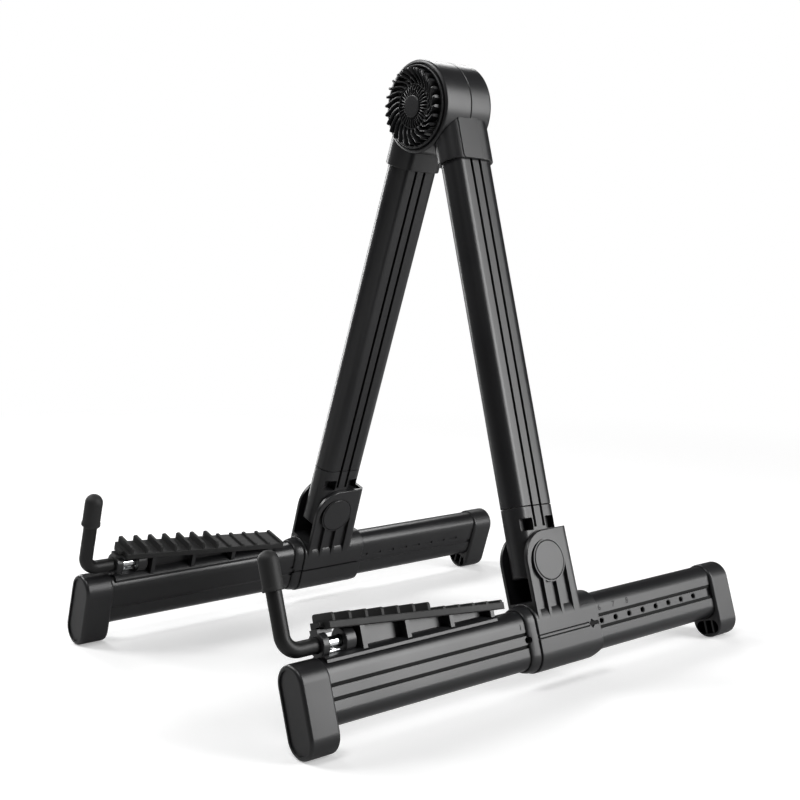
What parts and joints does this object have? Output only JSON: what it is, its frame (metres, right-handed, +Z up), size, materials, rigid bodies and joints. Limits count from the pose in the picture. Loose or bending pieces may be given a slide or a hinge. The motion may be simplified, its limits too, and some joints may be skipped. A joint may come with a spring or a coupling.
{
  "type": "folding instrument stand",
  "caption": "Folding A-frame floor stand for a guitar: hinged legs under a finned clamp knob, sliding feet, ribbed rubber wedges and swing-out holding arms.",
  "frame": {"origin": "on the floor, at the middle of the stand's footprint", "axes": "+Z up; -Y is the front, where the knob and the holding arms are; the feet lie along Y and the legs spread along X"},
  "size_m": [0.232, 0.3138, 0.3247],
  "materials": {
    "black_plastic": "satin moulded and extruded black plastic",
    "dark_plastic": "fine-grained black plastic",
    "rubber": "matte black rubber",
    "coated_rod": "gloss black coating on steel rod",
    "chrome": "bright plated shaft",
    "steel": "plain zinc-plated steel"
  },
  "bodies": {
    "left_leg": {"left_leg_tube": "black_plastic", "left_leg_end": "black_plastic", "hub_front_head": "black_plastic", "friction_washer": "rubber"},
    "right_leg": {"right_leg_tube": "black_plastic", "right_leg_end": "black_plastic", "hub_rear_head": "black_plastic", "clamp_bolt": "steel", "hub_rear_plug": "dark_plastic"},
    "knob": {"clamp_knob": "dark_plastic", "knob_cap": "dark_plastic", "clamp_nut": "steel"},
    "left_slider": {"left_slider": "black_plastic", "left_pivot_pin": "steel", "left_pivot_cap_outer": "black_plastic", "left_pivot_cap_inner": "black_plastic"},
    "right_slider": {"right_slider": "black_plastic", "right_pivot_pin": "steel", "right_pivot_cap_outer": "black_plastic", "right_pivot_cap_inner": "black_plastic"},
    "left_foot": {"left_foot_tube": "black_plastic", "left_front_cap": "dark_plastic", "left_rear_cap": "dark_plastic", "left_wedge_tray": "black_plastic", "left_wedge_pad": "rubber", "left_arm_catch": "steel"},
    "right_foot": {"right_foot_tube": "black_plastic", "right_front_cap": "dark_plastic", "right_rear_cap": "dark_plastic", "right_wedge_tray": "black_plastic", "right_wedge_pad": "rubber", "right_arm_catch": "steel"},
    "left_arm": {"left_arm_rod": "coated_rod", "left_arm_shaft": "chrome", "left_arm_tip": "rubber"},
    "right_arm": {"right_arm_rod": "coated_rod", "right_arm_shaft": "chrome", "right_arm_tip": "rubber"}
  },
  "joints": [
    {"name": "hub_spread", "type": "hinge", "parent": "left_leg", "child": "right_leg", "pos_m": [0, 0.0209, 0.29953], "axis": [0, 1, 0], "range_deg": [0, 36]},
    {"name": "knob_turn", "type": "hinge", "parent": "left_leg", "child": "knob", "pos_m": [0, 0.0209, 0.29953], "axis": [0, -1, 0], "range_deg": [0, 360]},
    {"name": "left_fold", "type": "hinge", "parent": "left_leg", "child": "left_slider", "pos_m": [-0.08968, 0.01156, 0.06073], "axis": [-0.9511, 0, 0.309], "range_deg": [0, 74]},
    {"name": "right_fold", "type": "hinge", "parent": "right_leg", "child": "right_slider", "pos_m": [0.08968, 0.01156, 0.06073], "axis": [-0.9511, 0, -0.309], "range_deg": [0, 74]},
    {"name": "left_length", "type": "slide", "parent": "left_slider", "child": "left_foot", "axis": [0, -1, 0], "range_m": [0, 0.07945]},
    {"name": "right_length", "type": "slide", "parent": "right_slider", "child": "right_foot", "axis": [0, -1, 0], "range_m": [0, 0.07945]},
    {"name": "left_arm_swing", "type": "hinge", "parent": "left_foot", "child": "left_arm", "pos_m": [-0.09462, -0.1291, 0.04553], "axis": [0, -1, 0], "range_deg": [0, 90]},
    {"name": "right_arm_swing", "type": "hinge", "parent": "right_foot", "child": "right_arm", "pos_m": [0.09462, -0.1291, 0.04553], "axis": [0, 1, 0], "range_deg": [0, 90]}
  ]
}
